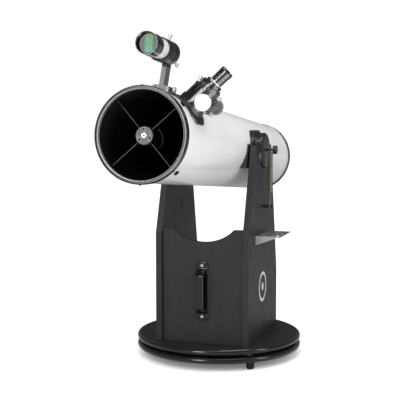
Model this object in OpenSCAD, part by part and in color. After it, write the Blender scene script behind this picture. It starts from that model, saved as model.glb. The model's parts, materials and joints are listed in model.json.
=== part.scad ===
// Newtonian reflector telescope on a rocker-box base.
// Origin on the azimuth axis, in the underside of the ground board. +Z up, the tube looks towards -Y.

/* [Base boards] */
// diameter of the ground board and of the rocker board
board_d = 508; // [490:1:540]
// thickness of every board of the base
board_t = 18; // [16:0.5:20]
// height of the feet below the ground board
foot_h = 22; // [16:1:30]
// gap between ground board and rocker board
glide_gap = 6.7; // [5:0.1:9]

/* [Rocker box] */
// height of the altitude axis
axis_z = 610; // [604:1:630]
// distance between the inner faces of the side panels
panel_gap = 248.6; // [248:0.2:252]
// front face of the front board, distance ahead of the axis
front_board_y = 170; // [164:1:174]
// height of the top of the front board
front_board_top = 380; // [360:1:390]

/* [Tube] */
// outer diameter of the main tube
tube_d = 230; // [228:0.5:231]
// wall of the main tube
tube_wall = 1.0; // [0.8:0.1:2.0]
// length of the tube ahead of the altitude axis, end ring included
tube_front = 665; // [620:1:700]
// length of the tube behind the altitude axis, end ring included
tube_rear = 499; // [480:1:510]
// nose-up tilt of the tube at rest, degrees
tilt = 4.41; // [0:0.01:8]

/* [Optics] */
// diameter of the main mirror
mirror_d = 203; // [196:1:204]
// focal length of the main mirror
focal_length = 1200; // [1000:10:1400]
// short axis of the flat secondary mirror
flat_d = 50; // [46:1:52]
// distance of the focuser axis behind the front ring
focuser_back = 114; // [110:1:120]
// angle of the focuser round the tube from its top, degrees
focuser_angle = 48; // [44:1:55]

/* [Focuser] */
// diameter of the focusing knobs
knob_d = 41; // [34:1:46]
// bore that takes eyepieces (1.25 inch)
eyepiece_bore = 31.95; // [31.85:0.05:32.1]

/* [Finder] */
// angle of the finder round the tube from its top, degrees
finder_angle = 8.2; // [0:0.1:12]
// distance from tube axis to finder axis
finder_up = 211.5; // [206:0.5:220]
// diameter of the finder's front cell
finder_cell_d = 55.4; // [54:0.2:60]

/* [Eyepiece rack] */
// length of the rack along the panel
rack_len = 147; // [140:1:160]
// how far the rack stands out from the panel
rack_depth = 74; // [70:1:80]
// height of the top of the rack
rack_z = 357.4; // [340:1:365]

/* [Hidden] */
$fn = 96;
slip = 0.3;                                  // air between pieces that move against each other
fit = 0.08;                                  // radial play of a shaft in its bearing

board_r = board_d / 2;
rocker_z = board_t + glide_gap;              // underside of the rocker board
deck_z = rocker_z + board_t;                 // top of the rocker board
panel_in = panel_gap / 2;
panel_out = panel_in + board_t;
panel_top = axis_z + 14;
panel_bottom_front = 181;                    // panel outline: half depths at the bottom and at the top
panel_bottom_rear = 184;
panel_top_half = 94;
panel_kink_front = 366;                      // heights where the upright edges start to slant
panel_kink_rear = 218;
notch_r = 56;
pad_angles = [-25, -155];                    // middles of the cradle pads, from level

foot_angles = [-50, 70, 190];
foot_ring_r = 229;
foot_r = 12.6;
foot_seat = 2;
pad_ring_r = 212;
pad_r = 15;
bolt_r = 5;                                  // azimuth bolt
bolt_hex_r = 9.8;
bolt_head_t = 6.4;
bolt_pocket_r = 13;
bolt_pocket = 8;
washer_r = 12.5;

handle_top = 285;                            // carry handle, heights on the front board
handle_bottom = 111;
handle_w = 38;                               // across its end plates
handle_grip_w = 24;
handle_reach = 36;                           // how far the grip stands out from the board
handle_grip_t = 10;
handle_plate_t = 3;                          // back plate behind the grip
handle_end_t = 6;
handle_screw_z = [122, 274];
panel_screw_z = [107, 310];
panel_screw_y = 161;
panel_screw_r = 2.9;
screw_hole_r = 3;
screw_head_r = 8;
screw_sink_r = 8.5;
screw_sink = 3;

peg_z = 438;
peg_r = 5;
peg_tip = 171;
peg_sink = 6;
spring_x = 163;
spring_r = 7;
spring_wire = 1.25;

tube_r = tube_d / 2;
tube_bore = tube_r - tube_wall;
ring_r = tube_r + 3.7;
ring_len = 16.7;
ring_face = 3;
ring_bore = 109;
lip_len = 10;
ring_screw_angles = [for (i = [0:7]) 45 * i];
ring_screw_hole_r = 1.6;
ring_screw_sink = 0.4;                       // the front screws' tips stay this far behind the lip's bore
front_ring_y = ring_len / 2 - tube_front;    // middles of the end rings
rear_ring_y = tube_rear - ring_len / 2;
wall_in = 100;                               // cuts through the tube's wall run between these radii
wall_out = 130;

disc_r = 51.5;
disc_face = 150;                             // outer face of the altitude bearing
disc_round = 8;
flange_r = 59.5;
saddle_x = 119;

hub_r = 23;
hub_front = 28;                              // spider, distances behind the front ring
hub_back = 64;
vane_front = 36;
vane_angles = [for (i = [0:3]) 49 + 90 * i];
vane_t = 1;
nut_back = 50;                               // middle of the vane nuts
holder_front = 68;
flat_t = 10;
tilt_screw_ring = 16;
tilt_screw_angles = [352, 112, 232];
tilt_screw_r = 2.5;

mirror_r = mirror_d / 2;
mirror_y = 440;                              // main mirror rim, behind the altitude axis
mirror_t = 28;
cell_t = 6;
cell_r = 108;
support_y = tube_rear - 6;
clip_angles = [30, 150, 270];
collimation_ring = 75;
collimation_angles = [90, 210, 330];
collimation_r = 3;

focuser_y = focuser_back - tube_front;
draw_r = 27;                                 // drawtube
draw_bore = 25.45;
axle_r = 3;
axle_x = draw_r + axle_r + slip;
axle_z = 155;
base_top = 126;
body_r = 34;
body_top = 172;
collar_bottom = 174.5;
collar_top = 189;
collar_r = 30;
collar_screw_z = 182;
adapter_top = 201;
lock_z = 143;
housing_x = 45;

finder_y = -562;
cell_front = -153;                           // finder lengths from the middle of its stalk
cell_back = -107;
finder_r = 25.2;
bracket_r = 29.6;
bracket_bore = 26.6;
bracket_front = -65;
bracket_back = 3;
bracket_drop = 0.8;                          // the bracket ring sits a little below the finder axis
stalk_half = 16;
finder_end = 20;                             // back of the finder tube, front of its eyepiece
finder_end_r = 13;
finder_screw_y = -6;
shoe_top = 129;
shoe_floor = 119;
shoe_front = -19;
shoe_back = 37;
slot_wide = 17;
slot_narrow = 14;
shoe_screw_y = 6;
shoe_screw_z = 124;
finder_screw_angles = [0, 134];
plunger_angle = 252;

board_color = [0.20, 0.21, 0.23];
tube_color = [0.86, 0.87, 0.88];
black = [0.08, 0.08, 0.09];
steel = [0.75, 0.75, 0.77];
glass_color = [0.6, 0.75, 0.8];

// ---------- placing ----------

// the tube's own frame: origin on the altitude axis, -Y towards the sky
module in_tube() {
    translate([0, 0, axis_z]) rotate([-tilt, 0, 0]) children();
}

// tube frame turned so that +Z runs out along the focuser, Z = distance from the tube axis
module in_focuser() {
    in_tube() translate([0, focuser_y, 0]) rotate([0, focuser_angle, 0]) children();
}

// tube frame turned so that +Z runs out through the finder's stalk
module in_finder() {
    in_tube() translate([0, finder_y, 0]) rotate([0, finder_angle, 0]) children();
}

module both_sides() {
    children();
    mirror([1, 0, 0]) children();
}

module rod_x(r, x0, x1) {
    translate([x0, 0, 0]) rotate([0, 90, 0]) cylinder(r = r, h = x1 - x0);
}

module rod_y(r, y0, y1) {
    translate([0, y0, 0]) rotate([-90, 0, 0]) cylinder(r = r, h = y1 - y0);
}

module rod_z(r, z0, z1) {
    translate([0, 0, z0]) cylinder(r = r, h = z1 - z0);
}

module pipe_y(r, bore, y0, y1) {
    difference() {
        rod_y(r, y0, y1);
        rod_y(bore, y0 - 1, y1 + 1);
    }
}

// a plate standing along Y, outline given as [y, z]
module yz_plate(x0, thick, outline) {
    translate([x0, 0, 0]) rotate([90, 0, 90]) linear_extrude(thick) polygon(outline);
}

// fluted thumbscrew head standing on z = 0
module thumb_head(r, h) {
    flutes = 10;
    difference() {
        union() {
            cylinder(r = r, h = h - 1);
            translate([0, 0, h - 1]) cylinder(r1 = r, r2 = r - 1, h = 1);
        }
        for (i = [0:flutes - 1]) {
            rotate(i * 360 / flutes) translate([r + 0.6, 0, -1]) cylinder(r = 1.2, h = h + 2, $fn = 24);
        }
    }
}

// thumbscrew along +Z: shank from tip to head, neck radius, head radius and height
module thumb_screw(shank_r, tip, seat, head_r, head_h) {
    rod_z(shank_r, tip, seat);
    translate([0, 0, seat]) thumb_head(head_r, head_h);
}

// cross-head pan screw, seat of the head on z = 0, shank towards -Z
module pan_screw(head_r, head_h, shank_r, shank) {
    slot = head_r * 0.25;
    difference() {
        union() {
            cylinder(r = head_r, h = head_h * 0.45);
            translate([0, 0, head_h * 0.45]) cylinder(r1 = head_r, r2 = head_r * 0.62, h = head_h * 0.55);
        }
        for (turn = [0, 90]) {
            rotate(turn) translate([-head_r * 0.6, -slot / 2, head_h * 0.5])
                cube([head_r * 1.2, slot, head_h]);
        }
    }
    rod_z(shank_r, -shank, 0);
}

// ---------- base boards ----------

module round_board(z0) {
    edge = board_t / 2;
    translate([0, 0, z0]) rotate_extrude($fn = 240) {
        square([board_r - edge, board_t]);
        translate([board_r - edge, edge]) circle(r = edge, $fn = 48);
    }
}

module at_feet(ring) {
    for (a = foot_angles) rotate(a) translate([ring, 0, 0]) children();
}

module ground_board() {
    color(board_color) difference() {
        round_board(0);
        at_feet(foot_ring_r) rod_z(foot_r + 0.5, -1, foot_seat);
        rod_z(bolt_r + 0.05, -1, board_t + 1);
        rod_z(bolt_pocket_r, -1, bolt_pocket);
    }
}

module feet() {
    round_over = 4;
    color(black) at_feet(foot_ring_r) translate([0, 0, -foot_h]) rotate_extrude($fn = 64) {
        polygon([[0, 0], [foot_r - 1.4 - round_over, 0], [foot_r - 1.4 - round_over, round_over],
            [foot_r - 1.4, round_over], [foot_r, foot_h + foot_seat], [0, foot_h + foot_seat]]);
        translate([foot_r - 1.4 - round_over, round_over]) intersection() {
            circle(r = round_over, $fn = 32);
            translate([0, -round_over]) square(round_over);
        }
    }
}

module glide_pads() {
    color([0.9, 0.9, 0.86]) at_feet(pad_ring_r) rod_z(pad_r, board_t, rocker_z - slip);
}

module azimuth_bolt() {
    washer_z = deck_z + slip;
    washer_t = 2;
    nut_h = 9;
    color(steel) {
        translate([0, 0, bolt_pocket - bolt_head_t]) cylinder(r = bolt_hex_r, h = bolt_head_t, $fn = 6);
        rod_z(bolt_r, bolt_pocket - 0.1, washer_z + washer_t + nut_h + 3);
        difference() {
            union() {
                rod_z(washer_r, washer_z, washer_z + washer_t);
                translate([0, 0, washer_z + washer_t]) cylinder(r = bolt_hex_r, h = nut_h, $fn = 6);
            }
            rod_z(bolt_r + 0.03, washer_z - 1, washer_z + 20);
        }
    }
}

module rocker_board() {
    color(board_color) difference() {
        round_board(rocker_z);
        rod_z(bolt_r + fit, rocker_z - 1, deck_z + 1);
    }
}

// ---------- rocker box ----------

module side_panel() {
    outline = [[-panel_bottom_front, deck_z], [panel_bottom_rear, deck_z],
        [panel_bottom_rear, panel_kink_rear], [panel_top_half, panel_top],
        [-panel_top_half, panel_top], [-panel_bottom_front, panel_kink_front]];
    difference() {
        yz_plate(panel_in, board_t, outline);
        translate([0, 0, axis_z]) {
            rod_x(notch_r, panel_in - 1, panel_out + 1);
            translate([panel_in - 1, -notch_r, 0]) cube([board_t + 2, 2 * notch_r, 40]);
        }
        for (z = panel_screw_z) translate([0, -panel_screw_y, z]) {
            rod_x(screw_hole_r, panel_in - 1, panel_out + 1);
            rod_x(screw_sink_r, panel_out - screw_sink, panel_out + 1);
        }
        translate([0, 0, peg_z]) {
            rod_x(screw_hole_r, panel_in - 1, panel_out + 1);
            rod_x(screw_sink_r, panel_in - 1, panel_in + peg_sink);
        }
        at_rack_screws() rod_x(2, panel_out - 14, panel_out + 1);
    }
}

module side_panel_right() {
    color(board_color) side_panel();
}

module side_panel_left() {
    color(board_color) mirror([1, 0, 0]) side_panel();
}

module front_board() {
    arc_r = 135;
    arc_low = 342;
    color(board_color) difference() {
        translate([0, board_t - front_board_y, 0]) rotate([90, 0, 0]) linear_extrude(board_t) difference() {
            translate([-panel_in, deck_z]) square([2 * panel_in, front_board_top - deck_z]);
            translate([0, arc_low + arc_r]) circle(r = arc_r, $fn = 240);
        }
        for (z = handle_screw_z) translate([0, 0, z]) rod_y(2, -front_board_y - 1, -front_board_y + 15);
        both_sides() for (z = panel_screw_z) {
            translate([0, -panel_screw_y, z]) rod_x(screw_hole_r, panel_in - 32, panel_in + 1);
        }
    }
}

// eases from 0 to 1 while d runs from d0 to d1
function ease(d, d0, d1) = (1 - cos(180 * min(max((d - d0) / (d1 - d0), 0), 1))) / 2;

// half width of a strap with round ends, d = distance from its nearer end
function strap_half(d, half, end_r = 12)
    = d < end_r ? half - end_r + sqrt(end_r * end_r - pow(end_r - d, 2)) : half;

// half width of the grip, and how far its outside and inside stand out from the board
function grip_half(d) = strap_half(d, handle_w / 2) - (handle_w - handle_grip_w) / 2 * ease(d, 8, 38);
function grip_out(d) = handle_end_t + (handle_reach - handle_end_t) * ease(d, 19, 39);
function grip_in(d) = (handle_reach - handle_grip_t) * ease(d, 24, 44);

module carry_handle() {
    face = -front_board_y;
    ends = [0, 0.6, 2, 4, 7];                    // closer steps round the ends
    rise = [for (d = [10:2:46]) d];
    steps = concat(ends, rise);
    up = [for (d = steps) [d, handle_bottom + d]];
    down = [for (i = [len(steps) - 1:-1:0]) [steps[i], handle_top - steps[i]]];
    run = concat(up, down);                      // [distance from the nearer end, height]
    back = [for (i = [len(run) - 1:-1:0]) run[i]];
    color(black) difference() {
        union() {
            translate([0, face, 0]) rotate([90, 0, 0]) linear_extrude(handle_plate_t)
                polygon(concat([for (p = run) [-strap_half(p[0], handle_w / 2), p[1]]],
                    [for (p = back) [strap_half(p[0], handle_w / 2), p[1]]]));
            intersection() {
                yz_plate(-handle_w / 2, handle_w, concat([for (p = run) [face - grip_out(p[0]), p[1]]],
                    [for (p = back) [face - grip_in(p[0]), p[1]]]));
                translate([0, face, 0]) rotate([90, 0, 0]) linear_extrude(handle_reach + 1)
                    polygon(concat([for (p = run) [-grip_half(p[0]), p[1]]],
                        [for (p = back) [grip_half(p[0]), p[1]]]));
            }
        }
        for (z = handle_screw_z) translate([0, 0, z]) rod_y(2.1, face - handle_end_t - 4, face + 1);
    }
}

module at_rack_screws() {
    for (y = [-82, 26]) translate([0, y, rack_z - 15]) children();
}

module rocker_screws() {
    color(steel) {
        for (z = handle_screw_z) translate([0, -front_board_y - handle_end_t, z]) rotate([90, 0, 0])
            pan_screw(4.5, 3, 1.95, 19);
        at_rack_screws() translate([panel_out + 1.6, 0, 0]) rotate([0, 90, 0]) pan_screw(4.5, 3, 1.95, 14);
    }
}

module panel_screws() {
    color(black) both_sides() for (z = panel_screw_z) {
        translate([panel_out - screw_sink, -panel_screw_y, z]) rotate([0, 90, 0]) difference() {
            union() {
                rod_z(screw_head_r, 0, 2);
                rod_z(panel_screw_r, -45, 0.1);
            }
            translate([0, 0, 0.8]) cylinder(r = panel_screw_r, h = 3, $fn = 6);
        }
    }
}

module eyepiece_rack() {
    sheet = 1.6;
    drop = 27;
    lip = 3;
    front = -101;
    hole_r = eyepiece_bore / 2 + 0.3;
    back = panel_out;
    color([0.78, 0.79, 0.8]) difference() {
        union() {
            translate([back, front, rack_z - sheet]) cube([rack_depth, rack_len, sheet]);
            translate([back, front, rack_z - drop]) cube([sheet, rack_len, drop]);
            translate([back + rack_depth - sheet, front, rack_z - lip]) cube([sheet, rack_len, lip]);
            for (y = [front, front + rack_len - sheet])
                translate([back, y + sheet, rack_z]) rotate([90, 0, 0]) linear_extrude(sheet)
                    polygon([[0, 0], [rack_depth, 0], [rack_depth, -lip], [rack_depth - 8, -lip],
                        [sheet, -drop], [0, -drop]]);
        }
        for (i = [0:4]) translate([back + (i % 2 == 0 ? 52 : 21), front + 26 + 23.75 * i, 0])
            rod_z(hole_r, rack_z - 3, rack_z + 1);
        at_rack_screws() rod_x(2.1, back - 1, back + 5);
        translate([back + 12, 0, rack_z - 12]) rod_y(4, front - 1, front + 5);
    }
}

module cradle_pads() {
    span = 24;
    color([0.93, 0.93, 0.9]) both_sides() for (a = pad_angles) {
        translate([panel_in + 0.5, 0, axis_z]) rotate([90, 0, 90]) rotate(a - span / 2)
            rotate_extrude(angle = span, $fn = 120) translate([disc_r + slip, 0])
                square([notch_r - disc_r - slip, board_t - 1]);
    }
}

module spring_pegs() {
    color(black) both_sides() translate([0, 0, peg_z]) {
        rod_x(peg_r, panel_out, peg_tip);
        rod_x(peg_r + 1.6, peg_tip - 3, peg_tip);
        rod_x(screw_hole_r - 0.05, panel_in + 3, panel_out + 0.1);
        difference() {
            rod_x(screw_head_r, panel_in + 1, panel_in + peg_sink - 0.1);
            rod_x(screw_hole_r, panel_in - 1, panel_in + peg_sink + 1);
        }
    }
}

// one wire ring of a spring, centre on the origin, ring plane = YZ
module wire_ring(r, wire) {
    rotate([0, 90, 0]) rotate_extrude($fn = 64) translate([r, 0]) circle(r = wire, $fn = 24);
}

// half of a wire ring, open towards +Z
module wire_bend(r, wire) {
    rotate([90, 0, 90]) rotate([0, 0, 180]) rotate_extrude(angle = 180, $fn = 64)
        translate([r, 0]) circle(r = wire, $fn = 24);
}

module tension_springs() {
    hook_r = 7;
    coil_top = axis_z - hook_r - 0.5;
    coil_bottom = 479;
    loop_r = peg_r + spring_wire + 0.5;
    color(steel) both_sides() translate([spring_x, 0, 0]) {
        difference() {
            rod_z(spring_r, coil_bottom, coil_top);
            rod_z(spring_r - 2 * spring_wire, coil_bottom + 2, coil_top - 2);
        }
        translate([0, 0, axis_z]) wire_ring(hook_r, spring_wire);
        translate([0, 0, peg_z]) wire_bend(loop_r, spring_wire);
        for (y = [-loop_r, loop_r]) translate([0, y, 0]) rod_z(spring_wire, peg_z, coil_bottom - loop_r);
        translate([0, 0, coil_bottom - loop_r]) mirror([0, 0, 1]) wire_bend(loop_r, spring_wire);
    }
}

// ---------- tube and mirrors ----------

module at_angles(angles) {
    for (a = angles) rotate([0, a, 0]) children();
}

// holes through the tube's wall and an end ring, y = middle of that ring
module ring_screw_holes(y) {
    translate([0, y, 0]) at_angles(ring_screw_angles) rod_z(ring_screw_hole_r, wall_in, wall_out);
}

module optical_tube() {
    color(tube_color) {
        difference() {
            in_tube() pipe_y(tube_r, tube_bore, ring_face - tube_front, tube_rear - ring_face, $fn = 240);
            in_focuser() rod_z(draw_r + 2, 80, wall_out);
            in_tube() translate([0, nut_back - tube_front, 0]) at_angles(vane_angles)
                rod_z(2.1, wall_in, wall_out);
            in_tube() ring_screw_holes(front_ring_y);
            in_tube() ring_screw_holes(rear_ring_y);
        }
    }
}

module front_ring() {
    face = -tube_front;
    color(black) in_tube() difference() {
        union() {
            pipe_y(ring_r, tube_r, face, face + ring_len, $fn = 240);
            pipe_y(ring_r - 1, ring_bore, face, face + ring_face, $fn = 240);
            pipe_y(ring_bore + 1.6, ring_bore, face, face + lip_len, $fn = 240);
        }
        ring_screw_holes(front_ring_y);
    }
}

module rear_ring() {
    face = tube_rear;
    arm_w = 24;                                  // the three arms that carry the mirror cell
    color(black) in_tube() difference() {
        union() {
            pipe_y(ring_r, tube_r, face - ring_len, face, $fn = 240);
            pipe_y(ring_r - 1, ring_bore - 3, face - ring_face, face, $fn = 240);
            pipe_y(28, 12, support_y, face);
            difference() {
                for (a = collimation_angles)
                    rotate([0, a, 0]) translate([-arm_w / 2, support_y, 15]) cube([arm_w, 6, 93]);
                rod_y(20, support_y - 1, face + 1);
            }
        }
        at_angles(collimation_angles) translate([0, 0, collimation_ring])
            rod_y(collimation_r + fit, support_y - 1, face + 1);
        ring_screw_holes(rear_ring_y);
    }
}

module ring_screws() {
    color(steel) in_tube() {
        translate([0, front_ring_y, 0]) at_angles(ring_screw_angles)
            translate([0, 0, ring_r]) pan_screw(3.2, 1.8, 1.5, ring_r - ring_bore - ring_screw_sink);
        translate([0, rear_ring_y, 0]) at_angles(ring_screw_angles)
            translate([0, 0, ring_r]) pan_screw(3.2, 1.8, 1.5, 8);
    }
}

module spider_vanes() {
    front = vane_front - tube_front;
    depth = hub_back - vane_front;
    block = 7;
    color(black) in_tube() at_angles(vane_angles) difference() {
        union() {
            translate([-vane_t / 2, front, hub_r]) cube([vane_t, depth, tube_bore - hub_r - 1]);
            translate([-block / 2, nut_back - tube_front - block, tube_bore - block - 0.4])
                cube([block, 2 * block, block]);
        }
        translate([0, nut_back - tube_front, 0]) rod_z(2.05, tube_bore - block - 1, tube_bore + 1);
    }
}

module vane_nuts() {
    size = 11;
    color(black) in_tube() translate([0, nut_back - tube_front, 0]) at_angles(vane_angles) {
        translate([-size / 2, -size / 2, tube_r + 0.2]) cube([size, size, 4.4]);
        rod_z(2, tube_bore - 7, tube_r + 0.3);
    }
}

module at_tilt_screws() {
    at_angles(tilt_screw_angles) translate([0, 0, tilt_screw_ring]) children();
}

module spider_hub() {
    front = hub_front - tube_front;
    back = hub_back - tube_front;
    color(black) in_tube() difference() {
        union() {
            rod_y(hub_r, front + 2, back);
            rod_y(hub_r - 1.5, front, front + 2.1);
        }
        at_tilt_screws() rod_y(tilt_screw_r + fit, front - 1, back + 1);
        rod_y(3.2, front - 1, back + 1);
        rod_y(8, front - 1, front + 1.5);
    }
}

module secondary_bolt() {
    front = hub_front - tube_front;
    color(steel) in_tube() difference() {
        union() {
            rod_y(6.5, front - 2.5, front + 1.5);
            rod_y(3, front + 1.4, holder_front - tube_front + 8);
        }
        translate([0, front - 3, 0]) rotate([-90, 0, 0]) cylinder(r = 3, h = 3, $fn = 6);
    }
}

// everything on the side of the flat mirror's face, the face pushed back by depth
module ahead_of_flat(depth) {
    big = 200;
    rotate([-45, 0, 0]) translate([-big / 2, -big / 2, -depth]) cube([big, big, big]);
}

module secondary_holder() {
    color(black) in_focuser() difference() {
        rod_y(flat_d / 2 - 1, holder_front - focuser_back, flat_d / 2 + 15);
        ahead_of_flat(flat_t);
        rod_y(3, holder_front - focuser_back - 1, holder_front - focuser_back + 8);
    }
}

module secondary_mirror() {
    color(glass_color) in_focuser() difference() {
        intersection() {
            rod_y(flat_d / 2, -60, 60);
            ahead_of_flat(flat_t);
        }
        ahead_of_flat(0);
    }
}

module primary_mirror() {
    curve_r = 2 * focal_length;
    curve_y = mirror_y - sqrt(curve_r * curve_r - mirror_r * mirror_r);
    color(glass_color) in_tube() difference() {
        rod_y(mirror_r, mirror_y, mirror_y + mirror_t, $fn = 180);
        translate([0, curve_y, 0]) sphere(r = curve_r, $fn = 720);
    }
}

module mirror_cell() {
    front = mirror_y + mirror_t;
    color([0.5, 0.5, 0.52]) in_tube() difference() {
        rod_y(cell_r, front, front + cell_t);
        rod_y(24, front - 1, front + cell_t + 1);
        at_angles(clip_angles) translate([0, 0, 66]) rod_y(26, front - 1, front + cell_t + 1);
        at_angles(collimation_angles) translate([0, 0, collimation_ring])
            rod_y(collimation_r + fit, front - 1, front + cell_t + 1);
    }
}

module mirror_clips() {
    wide = 14;
    post_in = mirror_r + slip;
    post_out = cell_r - 1;
    color(black) in_tube() at_angles(clip_angles) {
        translate([-wide / 2, mirror_y - 3, post_in]) cube([wide, mirror_t + 3, post_out - post_in]);
        translate([-wide / 2, mirror_y - 3, mirror_r - 5]) cube([wide, 2.8, post_out - mirror_r + 5]);
    }
}

module collimation_springs() {
    from = mirror_y + mirror_t + cell_t;
    color(steel) in_tube() at_angles(collimation_angles) translate([0, 0, collimation_ring])
        pipe_y(6.5, 4.5, from, support_y);
}

module secondary_screw(i) {
    front = hub_front - tube_front;
    color(steel) in_tube() rotate([0, tilt_screw_angles[i], 0]) translate([0, 0, tilt_screw_ring])
        difference() {
            rod_y(tilt_screw_r, front + 1, holder_front - tube_front - slip);
            translate([0, front, 0]) rotate([-90, 0, 0]) cylinder(r = 1.4, h = 4, $fn = 6);
        }
}

module secondary_screw_1() {
    secondary_screw(0);
}

module secondary_screw_2() {
    secondary_screw(1);
}

module secondary_screw_3() {
    secondary_screw(2);
}

module collimation_knob(i) {
    color(black) in_tube() rotate([0, collimation_angles[i], 0])
        translate([0, tube_rear + slip, collimation_ring]) rotate([-90, 0, 0]) {
            rod_z(collimation_r, mirror_y + mirror_t + slip - tube_rear - slip, 0.1);
            thumb_head(11, 13);
        }
}

module collimation_knob_1() {
    collimation_knob(0);
}

module collimation_knob_2() {
    collimation_knob(1);
}

module collimation_knob_3() {
    collimation_knob(2);
}

// ---------- altitude bearings ----------

module altitude_bearing() {
    saddle_in = 60;
    saddle_half = 120;
    saddle_low = -60;
    saddle_high = 12;
    difference() {
        union() {
            yz_plate(saddle_in, saddle_x - saddle_in, [[-saddle_half, saddle_low], [saddle_half, saddle_low],
                [saddle_half - 25, saddle_high], [25 - saddle_half, saddle_high]]);
            rod_x(flange_r, 90, panel_in - slip, $fn = 128);
            translate([panel_in - slip - 0.1, 0, 0]) rotate([0, 90, 0]) rotate_extrude($fn = 128) {
                thick = disc_face - panel_in + slip + 0.1;
                square([disc_r, thick - disc_round]);
                square([disc_r - disc_round, thick]);
                translate([disc_r - disc_round, thick - disc_round]) circle(r = disc_round, $fn = 48);
            }
        }
        rod_y(tube_r, -200, 200, $fn = 240);
        rod_x(4 + fit, tube_r + 2, disc_face + 1);
        rod_x(7.5, disc_face - 2, disc_face + 1);
    }
}

module altitude_bearings() {
    color(black) in_tube() both_sides() altitude_bearing();
}

module altitude_knob() {
    color(black) in_tube() translate([171, 0, 0]) rotate([0, 90, 0]) {
        rod_z(4, tube_r + 3 - 171, 0.1);
        thumb_head(12.8, 11.5);
    }
}

module altitude_knob_right() {
    altitude_knob();
}

module altitude_knob_left() {
    mirror([1, 0, 0]) altitude_knob();
}

// ---------- focuser ----------

module focuser_base() {
    wide = 100;
    long = 88;
    cut = 16;
    color([0.16, 0.16, 0.17]) in_focuser() difference() {
        union() {
            intersection() {
                translate([0, 0, 90]) linear_extrude(40) polygon([[cut - wide / 2, -long / 2],
                    [wide / 2 - cut, -long / 2], [wide / 2, cut - long / 2], [wide / 2, long / 2 - cut],
                    [wide / 2 - cut, long / 2], [cut - wide / 2, long / 2], [-wide / 2, long / 2 - cut],
                    [-wide / 2, cut - long / 2]]);
                rod_y(tube_r + 4.5, -60, 60, $fn = 240);
            }
            rod_z(body_r + 3, 100, base_top);
        }
        rod_y(tube_r, -60, 60, $fn = 240);
        rod_z(draw_r + 1, 90, base_top + 1);
    }
}

module focuser_body() {
    color(black) in_focuser() difference() {
        union() {
            rod_z(body_r, base_top, body_top);
            rod_z(body_r + 3, base_top, base_top + 5);
            rod_z(body_r + 1.2, body_top - 5, body_top);
            translate([20, -21, 135]) cube([housing_x - 20, 42, 31]);
        }
        rod_z(draw_r + slip, base_top - 1, body_top + 1);
        translate([axle_x, 0, axle_z]) rod_y(axle_r + fit, -40, 40);
        translate([0, 0, lock_z]) rod_x(2 + fit, 20, housing_x + 1);
    }
}

module focus_axle() {
    color(steel) in_focuser() translate([axle_x, 0, axle_z]) rod_y(axle_r, -57, 57);
}

module focus_knobs() {
    color(steel) in_focuser() for (side = [0, 180]) translate([axle_x, 0, axle_z]) rotate(side) difference() {
        union() {
            rod_y(knob_d / 2, -56, -46);
            rod_y(knob_d / 2 - 1.5, -46.1, -44);
            rod_y(9, -44.1, -27);
        }
        rod_y(axle_r + 0.02, -60, -20);
        rod_y(knob_d / 2 - 5, -57, -55);
    }
}

module drawtube() {
    color([0.35, 0.35, 0.37]) in_focuser() difference() {
        rod_z(draw_r, 97, collar_top - 1);
        rod_z(draw_bore, 96, collar_top);
        translate([0, 0, collar_screw_z]) rod_x(2 + fit, -40, 40);
    }
}

module drawtube_collar() {
    ribs = 36;
    color(black) in_focuser() difference() {
        union() {
            rod_z(collar_r, collar_bottom + 1, collar_top - 1);
            rod_z(collar_r - 1, collar_bottom, collar_top);
        }
        rod_z(draw_r, collar_bottom - 1, collar_top - 1);
        rod_z(draw_bore, collar_bottom - 1, collar_top + 1);
        translate([0, 0, collar_screw_z]) rod_x(2 + fit, -40, 40);
        for (i = [0:ribs - 1]) {
            rotate((i + 0.5) * 360 / ribs) translate([collar_r + 0.5, 0, collar_bottom + 3])
                cylinder(r = 1.2, h = collar_top - collar_bottom - 6, $fn = 24);
        }
    }
}

module collar_screw() {
    translate([0, 0, collar_screw_z]) rotate([0, 90, 0])
        thumb_screw(2, draw_bore + slip, collar_r + 3, 5.5, 8);
}

module collar_screw_1() {
    color(steel) in_focuser() collar_screw();
}

module collar_screw_2() {
    color(steel) in_focuser() rotate(180) collar_screw();
}

module focus_lock_screw() {
    color(steel) in_focuser() translate([0, 0, lock_z]) rotate([0, 90, 0])
        thumb_screw(2, draw_r + slip, housing_x + 2, 5.5, 8);
}

module eyepiece_adapter() {
    seat = collar_top + slip;
    color(black) in_focuser() difference() {
        union() {
            rod_z(draw_bore - 0.1, seat - 28, seat + 0.1);
            rod_z(28, seat, seat + 2.5);
            rod_z(22.4, seat + 2.4, adapter_top - 1.5);
            translate([0, 0, adapter_top - 1.5]) cylinder(r1 = 22.4, r2 = 20.9, h = 1.5);
        }
        rod_z(eyepiece_bore / 2, seat - 30, adapter_top + 1);
    }
}

module eyepiece_barrel() {
    color(steel) in_focuser() difference() {
        union() {
            rod_z(15.875, 173, adapter_top + 1);
            rod_z(16.8, adapter_top + slip, adapter_top + 3.5);
        }
        rod_z(14.2, 172, adapter_top + 4);
    }
}

module eyepiece_body() {
    low = adapter_top + 3.5;
    high = low + 38.5;
    color(black) in_focuser() difference() {
        translate([0, 0, low]) rotate_extrude() polygon([[0, 0], [16.2, 0], [16.4, 10], [15.9, 10.6],
            [15.9, 12], [16.5, 12.6], [16.7, 20], [16.2, 20.6], [16.2, 22], [16.8, 22.6], [17.3, 36],
            [16.2, 38.5], [0, 38.5]]);
        rod_z(12, low - 1, high - 8);
        translate([0, 0, high - 8.1]) cylinder(r1 = 9, r2 = 14.5, h = 8.2);
    }
}

// ---------- finder ----------

module on_finder_axis() {
    in_finder() translate([0, 0, finder_up]) children();
}

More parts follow.
